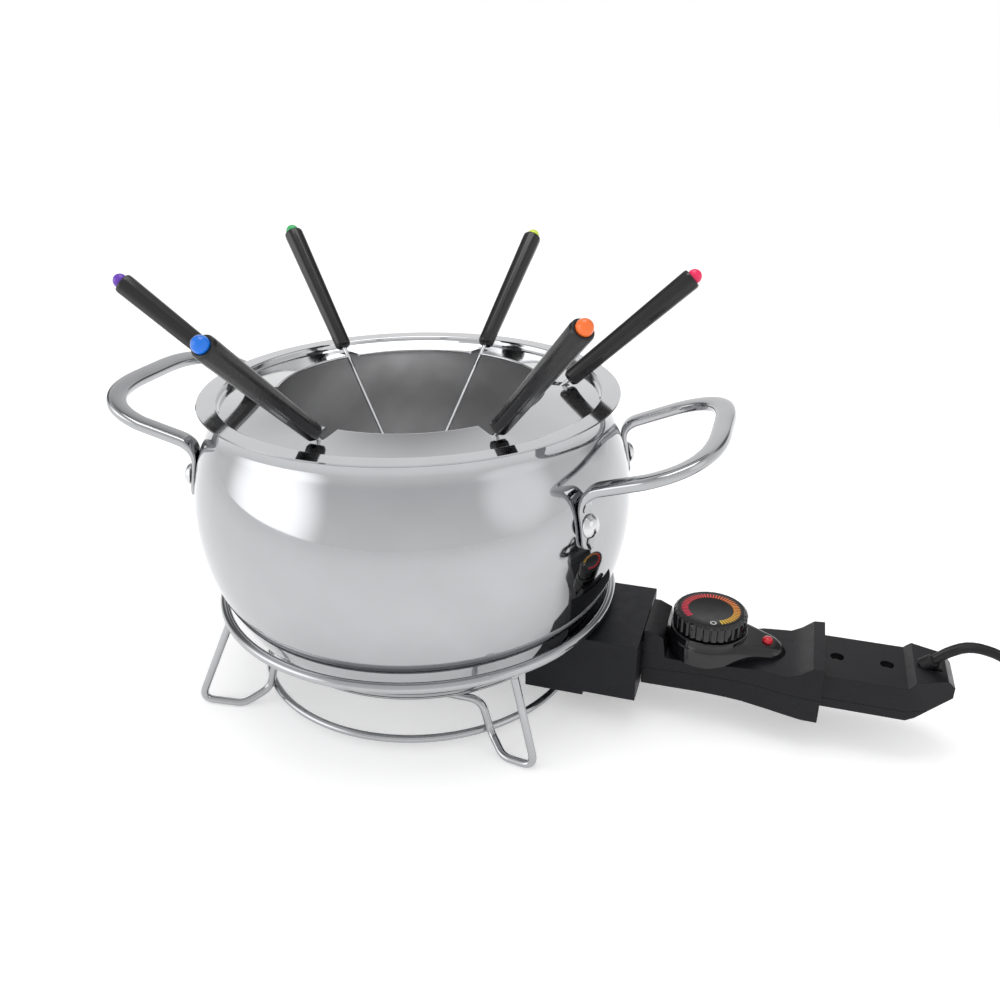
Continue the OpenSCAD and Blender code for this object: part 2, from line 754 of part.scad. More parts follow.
// ------------------------------------------------------------------------- dial
module dial_knob() {
    low = dial_z - dial_h;
    hub_r = 5.4;
    color("#161618") translate([dial_x, 0, 0]) difference() {
        union() {
            translate([0, 0, low]) cylinder(h = dial_h - 1, r = dial_r);
            translate([0, 0, dial_z - 1]) cylinder(h = 1, r1 = dial_r, r2 = dial_r - 0.9);
        }
        difference() {
            translate([0, 0, low - 1]) cylinder(h = dial_h - 1.5, r = dial_r - 2.6);
            cylinder(h = dial_z, r = hub_r);
        }
        translate([0, 0, low - 1]) cylinder(h = dial_h - 1.5, r = dial_shaft_r + touch);
        translate([0, 0, dial_z - 0.4]) cylinder(h = 1, r = dial_r - 2);
        for (i = [0:dial_flutes - 1]) rotate([0, 0, 360 * i / dial_flutes])
            translate([dial_r + 0.3, 0, low - 1]) cylinder(h = dial_h + 2, r = 0.9);
    }
}

module dial_face() {
    color("#0e0e10") translate([dial_x, 0, dial_z - 0.4 + touch])
        cylinder(h = 0.4 - touch, r = dial_r - 2 - touch);
}

module dial_shaft() {
    color("#9c9ea1") translate([dial_x, 0, 25.2])
        cylinder(h = dial_z - dial_h + 4.3 - 25.2, r = dial_shaft_r);
}

// ------------------------------------------------------------------------- lead
module strain_relief() {
    color("#1c1d1f") wire([cord_route[0], cord_route[1]], cord_d / 2 + 0.9, 12, [0, 1, 0]);
}

module cord() {
    route = [for (i = [1:len(cord_route) - 1]) cord_route[i]];
    color("#1c1d1f") wire(route, cord_d / 2, 10, [0, 1, 0]);
}

module cord_coil() {
    color("#1c1d1f") translate([coil_x, coil_y, 0]) rotate_extrude()
        translate([coil_r - cord_d, coil_low]) square([2 * cord_d, coil_high - coil_low]);
}

module cord_tie() {
    reach = cord_d + tie_t;
    color("#101012") translate([coil_x - coil_r, coil_y, 0]) difference() {
        translate([-reach, -tie_w / 2, 0]) cube([2 * reach, tie_w, coil_high + tie_t]);
        translate([coil_r, 0, 0]) rotate_extrude()
            translate([coil_r - cord_d - touch, coil_low - touch])
                square([2 * cord_d + 2 * touch, coil_high - coil_low + 2 * touch]);
    }
}

module plug_body() {
    color("#1c1d1f") translate([plug_x, plug_y, plug_z]) rotate([-90, 0, 0]) difference() {
        union() {
            cylinder(h = plug_neck + eps, r1 = cord_d / 2 + 0.6, r2 = 5.6);
            translate([-plug_w / 2, -plug_t / 2, plug_neck])
                cube([plug_w, plug_t, plug_len - plug_neck]);
        }
        for (x = [-blade_x, blade_x]) translate([x, 0, plug_len - blade_in / 2 + touch])
            cube([blade_t + 2 * touch, blade_w + 2 * touch, blade_in + 2 * touch], center = true);
    }
}

module plug_pins() {
    color("#c9a04a") for (x = [-blade_x, blade_x])
        translate([plug_x + x - blade_t / 2, plug_y + plug_len - blade_in, plug_z - blade_w / 2])
            cube([blade_t, blade_len + blade_in, blade_w]);
}

stand_hoop();
stand_lower_hoop();
leg_wire_front();
leg_wire_rear();
rail_clips();
rail_clip_screws();
bowl();
base_cup();
heat_spreader();
heating_element();
terminal_pins();
probe_guide();
connector_shroud();
shroud_screws();
side_handle_right();
side_handle_left();
handle_rivets_right();
handle_rivets_left();
fork_ring();
for (i = [0:fork_count - 1]) {
    fork_shaft(i);
    fork_grip(i);
    fork_ball(i);
}
control_top_shell();
control_bottom_shell();
control_nose();
control_bezel();
indicator_lens();
indicator_lamp();
probe_rod();
contact_sleeves();
thermostat();
shell_screws();
dial_knob();
dial_face();
dial_shaft();
strain_relief();
cord();
cord_coil();
cord_tie();
plug_body();
plug_pins();
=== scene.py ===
"""Electric fondue pot set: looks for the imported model, in metres, in the model's own frame."""
import json
from math import asin, atan2, cos, pi, radians, sin, sqrt

import bmesh
import bpy
from mathutils import Matrix, Vector

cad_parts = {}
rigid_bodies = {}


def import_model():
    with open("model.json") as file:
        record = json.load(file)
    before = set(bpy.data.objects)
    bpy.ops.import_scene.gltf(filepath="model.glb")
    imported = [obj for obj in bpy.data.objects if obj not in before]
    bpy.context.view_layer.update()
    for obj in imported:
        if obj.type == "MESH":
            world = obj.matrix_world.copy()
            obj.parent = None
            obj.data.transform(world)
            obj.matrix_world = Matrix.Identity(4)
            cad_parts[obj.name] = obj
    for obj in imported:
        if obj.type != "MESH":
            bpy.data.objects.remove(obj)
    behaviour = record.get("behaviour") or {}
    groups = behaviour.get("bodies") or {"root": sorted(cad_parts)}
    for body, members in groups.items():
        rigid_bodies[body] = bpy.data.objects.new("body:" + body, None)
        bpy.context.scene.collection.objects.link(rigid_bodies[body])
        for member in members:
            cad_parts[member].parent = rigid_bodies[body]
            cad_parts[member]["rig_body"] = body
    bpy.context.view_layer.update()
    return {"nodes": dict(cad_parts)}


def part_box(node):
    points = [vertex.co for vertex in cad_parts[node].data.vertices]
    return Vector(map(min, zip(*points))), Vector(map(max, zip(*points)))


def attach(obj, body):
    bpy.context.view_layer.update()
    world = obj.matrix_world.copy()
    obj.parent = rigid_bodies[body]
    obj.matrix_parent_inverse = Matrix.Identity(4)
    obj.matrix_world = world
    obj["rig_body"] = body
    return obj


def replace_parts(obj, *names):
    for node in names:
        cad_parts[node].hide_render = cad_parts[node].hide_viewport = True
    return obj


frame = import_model()
MM = 0.001
POT, RING, CONTROL, DIAL = "pot_and_stand", "fork_ring", "control", "dial"


# ------------------------------------------------------------------ mesh helpers
def finish_piece(name, bm, materials, body, sharp=35):
    """Turns a bmesh in millimetres into a piece that rides on a body."""
    bmesh.ops.scale(bm, vec=(MM, MM, MM), verts=bm.verts)
    bmesh.ops.recalc_face_normals(bm, faces=bm.faces)
    mesh = bpy.data.meshes.new(name)
    bm.to_mesh(mesh)
    bm.free()
    for face in mesh.polygons:
        face.use_smooth = True
    mesh.set_sharp_from_angle(angle=radians(sharp))
    piece = bpy.data.objects.new(name, mesh)
    bpy.context.scene.collection.objects.link(piece)
    for material in materials:
        mesh.materials.append(material)
    if body:
        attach(piece, body)
    return piece


def lathe(bm, profile, place=Matrix(), steps=96, ripple=None, paint=None):
    """Turns a closed profile of (radius, height) about +Z of place."""
    rings = []
    for index, (radius, height) in enumerate(profile):
        if radius < 1e-6:
            rings.append([bm.verts.new(place @ Vector((0, 0, height)))])
            continue
        ring = []
        for i in range(steps):
            a = 2 * pi * i / steps
            r = radius * (ripple(a, index) if ripple else 1)
            ring.append(bm.verts.new(place @ Vector((r * cos(a), r * sin(a), height))))
        rings.append(ring)
    count = len(rings)
    closed = len(rings[0]) > 1 and len(rings[-1]) > 1
    for k in range(count if closed else count - 1):
        a, b = rings[k], rings[(k + 1) % count]
        if len(a) == 1 and len(b) == 1:
            continue
        for i in range(steps):
            j = (i + 1) % steps
            corners = [a[i % len(a)], a[j % len(a)], b[j % len(b)], b[i % len(b)]]
            corners = [v for n, v in enumerate(corners) if v not in corners[:n]]
            face = bm.faces.new(corners)
            face.material_index = paint(k) if paint else 0


def circle_section(radius, sides=20):
    return [(radius * cos(2 * pi * i / sides), radius * sin(2 * pi * i / sides))
            for i in range(sides)]


def sweep(bm, path, section, up=(0, 0, 1), closed=False, fixed_up=False):
    """Sweeps section, a list of (across, up) or a function of the fraction along, along path.
    up is one direction or a list with one for each point."""
    path = [Vector(p) for p in path]
    count = len(path)
    lengths = [0.0]
    for a, b in zip(path, path[1:]):
        lengths.append(lengths[-1] + (b - a).length)
    each = isinstance(up, list)
    normal = Vector(up[0] if each else up)
    rings = []
    for i, p in enumerate(path):
        before = path[i - 1] if i or closed else p
        after = path[(i + 1) % count] if i < count - 1 or closed else p
        tangent = ((after - p).normalized() + (p - before).normalized()).normalized()
        base = Vector(up[i]) if each else Vector(up) if fixed_up else normal
        normal = (base - base.dot(tangent) * tangent).normalized()
        across = normal.cross(tangent)
        shape = section(lengths[i] / lengths[-1]) if callable(section) else section
        rings.append([bm.verts.new(p + x * across + y * normal) for x, y in shape])
    for k in range(count if closed else count - 1):
        a, b = rings[k], rings[(k + 1) % count]
        for i in range(len(a)):
            j = (i + 1) % len(a)
            bm.faces.new((a[i], a[j], b[j], b[i]))
    if not closed:
        bm.faces.new(list(reversed(rings[0])))
        bm.faces.new(rings[-1])


def arc(cx, cz, r, a0, a1, n):
    """Points on an arc, angles in degrees."""
    return [(cx + r * cos(radians(a0 + (a1 - a0) * i / n)),
             cz + r * sin(radians(a0 + (a1 - a0) * i / n))) for i in range(n + 1)]


def rounded(points, cuts, n=8):
    """A polyline whose inner corners are rounded over the given distances."""
    points = [Vector(p) for p in points]
    out = [points[0]]
    for i in range(1, len(points) - 1):
        b = points[i]
        p = b + (points[i - 1] - b).normalized() * cuts[i]
        q = b + (points[i + 1] - b).normalized() * cuts[i]
        for k in range(n + 1):
            t = k / n
            out.append((1 - t) ** 2 * p + 2 * t * (1 - t) * b + t * t * q)
    out.append(points[-1])
    return out


def smooth_path(points, per_span):
    """Catmull-Rom curve through the points."""
    points = [Vector(p) for p in points]
    ends = [2 * points[0] - points[1]] + points + [2 * points[-1] - points[-2]]
    out = []
    for i in range(1, len(ends) - 2):
        a, b, c, d = ends[i - 1:i + 3]
        for k in range(per_span):
            t = k / per_span
            out.append(0.5 * (2 * b + (c - a) * t + (2 * a - 5 * b + 4 * c - d) * t * t
                              + (3 * b - a - 3 * c + d) * t ** 3))
    return out + [points[-1]]


def refined(node, width, material, angle=32, segments=3):
    """A copy of a CAD node with softened edges, in place of that node."""
    bm = bmesh.new()
    bm.from_mesh(frame["nodes"][node].data)
    bmesh.ops.remove_doubles(bm, verts=bm.verts, dist=1e-6)
    bmesh.ops.dissolve_limit(bm, angle_limit=radians(0.5), verts=bm.verts, edges=bm.edges)
    mesh = bpy.data.meshes.new(node + "_soft")
    bm.to_mesh(mesh)
    bm.free()
    piece = bpy.data.objects.new(node + "_soft", mesh)
    bpy.context.scene.collection.objects.link(piece)
    for face in mesh.polygons:
        face.use_smooth = True
    mesh.materials.clear()
    mesh.materials.append(material)
    bevel = piece.modifiers.new("soft_edges", "BEVEL")
    bevel.width = width * MM
    bevel.segments = segments
    bevel.limit_method = "ANGLE"
    bevel.angle_limit = radians(angle)
    bevel.harden_normals = True
    piece.modifiers.new("even_light", "WEIGHTED_NORMAL").keep_sharp = True
    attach(piece, frame["nodes"][node]["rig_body"])
    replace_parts(piece, node)
    return piece


def repaint(node, material):
    """Gives a CAD node that keeps its own shape a finished material."""
    data = frame["nodes"][node].data
    data.materials.clear()
    data.materials.append(material)


# --------------------------------------------------------------------- materials
class Paint:
    """A Principled material whose nodes are added by short calls."""

    def __init__(self, name, colour, rough, metal=0.0, coat=0.0):
        self.material = bpy.data.materials.new(name)
        self.material.use_nodes = True
        self.nodes = self.material.node_tree.nodes
        self.links = self.material.node_tree.links
        self.shader = self.nodes["Principled BSDF"]
        self.shader.inputs["Base Color"].default_value = (*colour, 1)
        self.shader.inputs["Roughness"].default_value = rough
        self.shader.inputs["Metallic"].default_value = metal
        self.shader.inputs["Coat Weight"].default_value = coat
        self.material.diffuse_color = (*colour, 1)
        self.place = self.nodes.new("ShaderNodeTexCoord").outputs["Object"]

    def math(self, operation, a, b=None):
        node = self.nodes.new("ShaderNodeMath")
        node.operation = operation
        for socket, value in zip(node.inputs, (a, b)):
            if hasattr(value, "links"):
                self.links.new(value, socket)
            elif value is not None:
                socket.default_value = value
        return node.outputs[0]

    def noise(self, scale, detail=3.0, at=None, stretch=None):
        source = at or self.place
        if stretch:
            mapping = self.nodes.new("ShaderNodeMapping")
            mapping.inputs["Scale"].default_value = stretch
            self.links.new(source, mapping.inputs["Vector"])
            source = mapping.outputs[0]
        node = self.nodes.new("ShaderNodeTexNoise")
        node.inputs["Scale"].default_value = scale
        node.inputs["Detail"].default_value = detail
        self.links.new(source, node.inputs["Vector"])
        return node.outputs["Fac"]

    def radial(self, centre=(0, 0)):
        """Distance from a vertical axis, as a vector for a noise."""
        split = self.nodes.new("ShaderNodeSeparateXYZ")
        self.links.new(self.place, split.inputs[0])
        x = self.math("SUBTRACT", split.outputs[0], centre[0])
        y = self.math("SUBTRACT", split.outputs[1], centre[1])
        radius = self.math("SQRT", self.math("ADD", self.math("MULTIPLY", x, x),
                                             self.math("MULTIPLY", y, y)))
        join = self.nodes.new("ShaderNodeCombineXYZ")
        self.links.new(radius, join.inputs[0])
        self.links.new(split.outputs[2], join.inputs[1])
        return join.outputs[0], self.math("ARCTAN2", y, x)

    def ramp(self, value, stops):
        node = self.nodes.new("ShaderNodeValToRGB")
        while len(node.color_ramp.elements) < len(stops):
            node.color_ramp.elements.new(0.5)
        for element, (place, colour) in zip(node.color_ramp.elements, stops):
            element.position = place
            element.color = (*colour, 1) if len(colour) == 3 else colour
        self.links.new(value, node.inputs[0])
        return node.outputs["Color"]

    def spread(self, value, low, high, socket="Roughness"):
        node = self.nodes.new("ShaderNodeMapRange")
        node.inputs["From Min"].default_value = 0.3
        node.inputs["From Max"].default_value = 0.7
        node.inputs["To Min"].default_value = low
        node.inputs["To Max"].default_value = high
        self.links.new(value, node.inputs["Value"])
        self.links.new(node.outputs[0], self.shader.inputs[socket])

    def tint(self, value, dark, light):
        self.links.new(self.ramp(value, [(0.3, dark), (0.7, light)]),
                       self.shader.inputs["Base Color"])

    def bump(self, value, height, strength=1.0):
        node = self.nodes.new("ShaderNodeBump")
        node.inputs["Distance"].default_value = height * MM
        node.inputs["Strength"].default_value = strength
        self.links.new(value, node.inputs["Height"])
        previous = self.shader.inputs["Normal"].links
        if previous:
            self.links.new(previous[0].from_socket, node.inputs["Normal"])
        self.links.new(node.outputs[0], self.shader.inputs["Normal"])


def shaded(colour, by):
    return tuple(min(1, c * by) for c in colour)


def plate(name, colour, low, high, wave=0.0):
    """Bright plated or polished metal with faint waviness and wiping marks."""
    p = Paint(name, colour, low, 1)
    p.tint(p.noise(60), shaded(colour, 0.94), colour)
    p.spread(p.noise(180, 5), low, high)
    p.bump(p.noise(900, 4), 0.004, 0.25)
    if wave:
        p.bump(p.noise(28, 1), wave, 0.2)
    return p.material


def spun(name, colour, low, high, lines):
    """Sheet metal polished on a lathe: fine rings round the axis."""
    p = Paint(name, colour, low, 1)
    radius, _ = p.radial()
    p.tint(p.noise(45), shaded(colour, 0.95), colour)
    p.spread(p.noise(140, 5), low, high)
    p.bump(p.noise(lines, 3, radius), 0.004, 0.12)
    return p.material


def moulded(name, colour, low, high, grain, depth, coat=0.0, shine=0.28):
    """Moulded plastic with a fine grain and slight colour variation."""
    p = Paint(name, colour, low, 0, coat)
    p.shader.inputs["Specular IOR Level"].default_value = shine
    p.tint(p.noise(35), shaded(colour, 0.82), shaded(colour, 1.15))
    p.spread(p.noise(220, 4), low, high)
    p.bump(p.noise(grain, 3), depth, 0.5)
    return p.material


def non_stick():
    """Grey coating with a metallic sheen and faint turning lines."""
    p = Paint("non_stick", (0.7, 0.7, 0.7), 0.35, 0.9)
    radius, _ = p.radial()
    p.tint(p.noise(24, 5), (0.55, 0.55, 0.555), (0.8, 0.8, 0.805))
    p.spread(p.noise(60, 5), 0.28, 0.42)
    p.bump(p.noise(1500, 2), 0.02, 0.35)
    p.bump(p.noise(500, 2, radius), 0.01, 0.2)
    return p.material


def dial_ticks():
    """Printed ink that runs from red through orange to yellow round the dial."""
    p = Paint("tick_ink", (0.8, 0.2, 0.05), 0.35)
    _, angle = p.radial(DIAL_AXIS)
    turn = p.math("FRACT", p.math("ADD", p.math("DIVIDE", angle, 2 * pi), 1 - INK_START / 360))
    p.links.new(p.ramp(turn, [(0.0, (0.8, 0.56, 0.02)), (0.25, (0.8, 0.3, 0.03)),
                              (0.48, (0.76, 0.05, 0.03)), (0.8, (0.68, 0.01, 0.06))]),
                p.shader.inputs["Base Color"])
    p.bump(p.noise(3000, 2), 0.01, 0.4)
    return p.material


DIAL_AXIS = (150.3 * MM, 0)
INK_START = 281
INK_LOW, INK_HIGH = 53.86, 53.98
TICKS, FIRST_TICK, TICK_SPAN = 46, 18, 284
CHROME = plate("chrome", (0.44, 0.445, 0.455), 0.03, 0.07)
BAR = plate("polished_bar", (0.45, 0.455, 0.465), 0.04, 0.09, 0.03)
BOWL = spun("bowl_polish", (0.46, 0.465, 0.475), 0.035, 0.075, 700)
SHEET = spun("ring_polish", (0.62, 0.625, 0.635), 0.04, 0.1, 1400)
STEEL = plate("bright_steel", (0.7, 0.705, 0.71), 0.12, 0.24)
ZINC = plate("zinc", (0.5, 0.5, 0.49), 0.28, 0.42)
CAST = plate("cast_aluminium", (0.55, 0.55, 0.54), 0.42, 0.6)
SHEATH = plate("heater_sheath", (0.14, 0.12, 0.11), 0.4, 0.6)
BRASS = plate("brass", (0.72, 0.5, 0.2), 0.18, 0.32)
INSIDE = non_stick()
SHROUD = moulded("shroud_plastic", (0.008, 0.0085, 0.011), 0.38, 0.5, 1600, 0.03, 0, 0.2)
SHELL = moulded("control_plastic", (0.006, 0.0062, 0.008), 0.24, 0.36, 1400, 0.02, 0, 0.22)
GLOSS = moulded("gloss_plastic", (0.005, 0.005, 0.006), 0.08, 0.14, 500, 0.003, 0.3, 0.4)
GRIP = moulded("grip_plastic", (0.006, 0.006, 0.007), 0.22, 0.34, 1800, 0.02, 0.25, 0.35)
RUBBER = moulded("lead_rubber", (0.009, 0.009, 0.01), 0.4, 0.52, 900, 0.03)
PRINT = moulded("dial_black", (0.006, 0.006, 0.007), 0.3, 0.4, 1500, 0.01)
PHENOLIC = moulded("phenolic", (0.19, 0.09, 0.045), 0.45, 0.6, 900, 0.03)
RED_LENS = moulded("red_lens", (0.62, 0.015, 0.03), 0.12, 0.2, 500, 0.006, 0.5)
LAMP = moulded("lamp", (0.8, 0.4, 0.2), 0.08, 0.14, 500, 0.004)
INK = dial_ticks()
WHITE_INK = moulded("white_ink", (0.75, 0.75, 0.73), 0.35, 0.45, 2500, 0.008)
BALLS = [moulded("ball_" + name, colour, 0.16, 0.26, 700, 0.006, 0.35) for name, colour in (
    ("pink", (0.83, 0.02, 0.11)), ("lime", (0.62, 0.74, 0.05)), ("green", (0.04, 0.46, 0.13)),
    ("purple", (0.13, 0.04, 0.42)), ("blue", (0.008, 0.16, 0.68)), ("orange", (0.92, 0.17, 0.03)))]


# ------------------------------------------------------------------------ camera
def camera():
    """The photograph's viewing angle."""
    data = bpy.data.cameras.new("camera")
    data.lens = 33.56
    data.sensor_width = 36
    data.clip_end = 20
    eye = bpy.data.objects.new("camera", data)
    heading, pitch, roll = radians(107.7), radians(-24.88), -0.0061
    forward = Vector((cos(heading) * cos(pitch), sin(heading) * cos(pitch), sin(pitch)))
    turn = forward.to_track_quat("-Z", "Y").to_matrix().to_4x4()
    eye.matrix_world = (Matrix.Translation((0.1708, -0.3966, 0.2904)) @ turn
                        @ Matrix.Rotation(roll, 4, "Z"))
    bpy.context.scene.collection.objects.link(eye)
    bpy.context.scene.camera = eye


# -------------------------------------------------------------------------- lead
CORD_W, CORD_T = 6.0, 3.6
COIL = (345, 12)
COIL_MID = 33
LOW_LAYER, HIGH_LAYER = 2.7, 6.4
ROUTE = [(251, 0, 45), (256, 0, 50), (263, 0, 54), (271, 0, 54), (280, -1, 51), (290, -5, 43),
         (300, -11, 30), (308, -16, 18), (316, -20, 9), (324, -23, 5), (331, -24, 4)]
PLUG = (381, 24, 6.2)
PLUG_NECK, PLUG_LEN = 20, 42


def ease(t, start, end):
    """0 before start and 1 after end, with a smooth step between."""
    t = min(1, max(0, (t - start) / (end - start)))
    return t * t * (3 - 2 * t)


def coil_turns():
    """Two turns side by side and, on top of them, the rest of the winding."""
    steps = 28
    turns = 3.25
    points = []
    for i in range(int(turns * steps) + 1):
        t = i / steps
        a = radians(-90 + 360 * t)
        inward = ease(t, 0.95, 1.15) - ease(t, 2.95, 3.15)
        r = COIL_MID + CORD_W / 2 - CORD_W * inward
        z = LOW_LAYER + (HIGH_LAYER - LOW_LAYER) * ease(t, 1.75, 1.95)
        points.append((COIL[0] + r * cos(a), COIL[1] + r * sin(a), z))
    return points


def flat_twin():
    """Section of a flat lead with a groove between its two wires."""
    half = CORD_W / 2 - CORD_T / 2
    right = arc(half, 0, CORD_T / 2, -110, 110, 12)
    left = [(-x, -y) for x, y in right]
    return right + left


def lead():
    """The free lead from the control to its coil and plug."""
    path = smooth_path(ROUTE + [coil_turns()[0]], 3)[:-1] + [Vector(p) for p in coil_turns()]
    path += [Vector((PLUG[0], y, PLUG[2])) for y in (16, 20, 24, 30)]
    bm = bmesh.new()
    sweep(bm, path, flat_twin(), up=(0, 0, 1), fixed_up=True)
    cord = finish_piece("lead", bm, [RUBBER], CONTROL, 60)
    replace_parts(cord, "cord", "cord_coil")
    strain_relief()
    plug()
    plug_blades()
    tie()


def strain_relief():
    """Short smooth sleeve where the lead leaves the control."""
    bm = bmesh.new()

    def section(t):
        grow = 3.9 - 0.5 * t - 0.8 * ease(t, 0.85, 1)
        return [(x * grow, y * grow * 0.85) for x, y in circle_section(1, 24)]

    sweep(bm, smooth_path([(247, 0, 41), ROUTE[0]], 12), section, up=(0, 1, 0))
    piece = finish_piece("lead_sleeve", bm, [RUBBER], CONTROL, 50)
    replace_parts(piece, "strain_relief")
    return piece


def plug():
    """Moulded two-blade plug with finger ribs and a ribbed neck."""
    bm = bmesh.new()
    x, y, z = PLUG

    def section(t):
        along = t * PLUG_LEN
        grow = ease(along, PLUG_NECK - 4, PLUG_NECK + 5)
        rib = 0.35 if along < PLUG_NECK - 5 and (along / 2.4) % 1 < 0.5 else 0
        grip = 0.5 if PLUG_NECK + 6 < along < PLUG_LEN - 5 and (along / 2.2) % 1 < 0.5 else 0
        end = 1.2 * ease(along, PLUG_LEN - 1.2, PLUG_LEN)
        wide = (3.6 + 0.05 * along) * (1 - grow) + 10.9 * grow + rib - end - grip
        tall = (2.6 + 0.08 * along) * (1 - grow) + 5.7 * grow + rib - end
        power = 1 - 0.45 * grow
        shape = []
        for i in range(40):
            a = 2 * pi * i / 40
            c, s = cos(a), sin(a)
            shape.append((wide * abs(c) ** power * (1 if c > 0 else -1),
                          tall * abs(s) ** power * (1 if s > 0 else -1)))
        return shape

    sweep(bm, [(x, y + PLUG_LEN * i / 84, z) for i in range(85)], section)
    piece = finish_piece("plug", bm, [RUBBER], CONTROL, 40)
    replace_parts(piece, "plug_body")
    return piece


def plug_blades():
    return refined("plug_pins", 0.35, BRASS)


def tie():
    """Flat rubber band round the coil."""
    low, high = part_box("cord_tie")
    cx = (low[0] + high[0]) / 2 / MM
    bm = bmesh.new()
    half_x, top = 6.4, 8.9
    corners = [(cx - half_x, 0.4), (cx + half_x, 0.4), (cx + half_x, top), (cx - half_x, top)]
    loop = []
    for i in range(4):
        a, b, c = (Vector((*corners[(i + k) % 4], 0)) for k in (-1, 0, 1))
        loop += rounded([a, b, c], [0, 2, 0], 6)[1:-1]
    path = [(p.x, COIL[1], p.y) for p in loop]
    sweep(bm, path, [(x * 5.4, y * 0.36) for x, y in circle_section(1, 20)], up=(0, 0, 1),
          closed=True)
    piece = finish_piece("tie", bm, [GRIP], CONTROL, 60)
    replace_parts(piece, "cord_tie")
    return piece


# -------------------------------------------------------------------------- bowl
RIM_Z = 152
WIDE_Z = 97
WALL = 1.0
HIGH_C, HIGH_R = 21, 86


def bowl_side(inset):
    """The bowl's side from the floor to the neck, moved inwards."""
    neck = (HIGH_R + 15) * cos(radians(30)) + HIGH_C
    neck_z = (HIGH_R + 15) * sin(radians(30)) + WIDE_Z
    return (arc(9, WIDE_Z, 98 - inset, -40, 0, 30) + arc(HIGH_C, WIDE_Z, HIGH_R - inset, 1, 30, 24)
            + arc(neck, neck_z, 15 + inset, 208, 180, 10))


def bowl():
    """One spun shell, bright outside and coated inside."""
    outer = bowl_side(0)
    inner = list(reversed(bowl_side(WALL)))
    top = RIM_Z - 1.2
    neck_r = outer[-1][0]
    lip = [(neck_r, top - 0.3), (neck_r - 0.3, top), (neck_r - WALL + 0.3, top),
           (neck_r - WALL, top - 0.3)]
    floor_edge = (82, 35.4)
    profile = [(0, 34), (40, 34), (80, 34)] + outer + lip + inner
    profile += [floor_edge, (79, 35.4), (40, 35.4), (0, 35.4)]
    turned_over = len(outer) + 6
    bm = bmesh.new()
    lathe(bm, profile, steps=192, paint=lambda k: 0 if k < turned_over else 1)
    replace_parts(finish_piece("bowl_shell", bm, [BOWL, INSIDE], POT, 40), "bowl")


def base():
    """Steel cup round the heater, with a rolled bottom edge and a pressed underside."""
    bm = bmesh.new()
    side = [(82.5, 33.9), (82.2, 32.4), (79, 27.6)] + arc(76, 28, 3, -8, -90, 8)
    pressed = [(66, 25), (65, 25.3), (40, 25.3), (39, 25), (0, 25)]
    shell = side + pressed
    inner = [(0, 26), (74, 26), (77.5, 28), (81.5, 33.9)]
    lathe(bm, shell + inner, steps=160)
    piece = finish_piece("base_shell", bm, [BOWL], POT, 40)
    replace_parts(piece, "base_cup")


# --------------------------------------------------------------------- fork ring
SLOTS = [21 + 60 * i for i in range(6)]


def fork_ring():
    """Pressed sheet ring: flat flange, step that sits in the rim, and a raised inner edge."""
    step, dip, hole, t = 91.2, RIM_Z - 3.2, 64.3, 0.9
    top = [(99.6, RIM_Z)] + [(step + 0.9, RIM_Z)] + arc(step + 0.6, RIM_Z - 0.9, 0.9, 90, 180, 4)
    top += [(step - 0.5, dip + 0.7), (step - 1.3, dip)]
    lip = arc(hole + 0.75, RIM_Z - 0.75, 0.75, 60, 300, 12)
    under = [(hole + 2.5, RIM_Z - 1.5), (step - 1.0, dip - t), (step + 0.4, dip - t + 0.5),
             (step + 0.55, RIM_Z - t - 0.8), (step + 1.2, RIM_Z - t), (99.6, RIM_Z - t),
             (100, RIM_Z - t / 2)]
    bm = bmesh.new()
    lathe(bm, top + lip + under, steps=240)
    piece = finish_piece("ring_sheet", bm, [SHEET], RING, 40)
    cut = bmesh.new()
    for angle in SLOTS:
        turn = Matrix.Rotation(radians(angle), 4, "Z")
        outline = [(55, -3.1)] + arc(73.2, 0, 3.1, -90, 90, 16) + [(55, 3.1)]
        low = [cut.verts.new(turn @ Vector((x, y, 140))) for x, y in outline]
        high = [cut.verts.new(turn @ Vector((x, y, 160))) for x, y in outline]
        cut.faces.new(list(reversed(low)))
        cut.faces.new(high)
        for i in range(len(low)):
            j = (i + 1) % len(low)
            cut.faces.new((low[i], low[j], high[j], high[i]))
    cutter = finish_piece("slot_cutter", cut, [SHEET], RING, 30)
    boolean = piece.modifiers.new("slots", "BOOLEAN")
    boolean.operation = "DIFFERENCE"
    boolean.solver = "EXACT"
    boolean.object = cutter
    apply_modifiers(piece)
    bpy.data.objects.remove(cutter)
    piece.data.set_sharp_from_angle(angle=radians(30))
    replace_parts(piece, "fork_ring")


def apply_modifiers(piece):
    """Bakes a piece's modifiers into its mesh."""
    graph = bpy.context.evaluated_depsgraph_get()
    mesh = bpy.data.meshes.new_from_object(piece.evaluated_get(graph))
    piece.modifiers.clear()
    piece.data = mesh


# ------------------------------------------------------------------------- forks
SLANT = [41.3, 41.9, 47, 40.6, 42.9, 45.5]
SWING = [-5, -2.9, 3.5, -10.6, -2, 2.3]
STEEL_LEN = 125
TINE_LEN = 22
GRIP_START, GRIP_END = 5.4, 79.6


def fork_place(i):
    """Local +Z runs up a fork's shaft from where it leans on the ring."""
    return (Matrix.Rotation(radians(SLOTS[i]), 4, "Z") @ Matrix.Translation((72, 0, RIM_Z - 2.3))
            @ Matrix.Rotation(radians(SWING[i]), 4, "Z")
            @ Matrix.Rotation(radians(90 - SLANT[i]), 4, "Y"))


def placed(place, points):
    return [place @ Vector(p) for p in points]


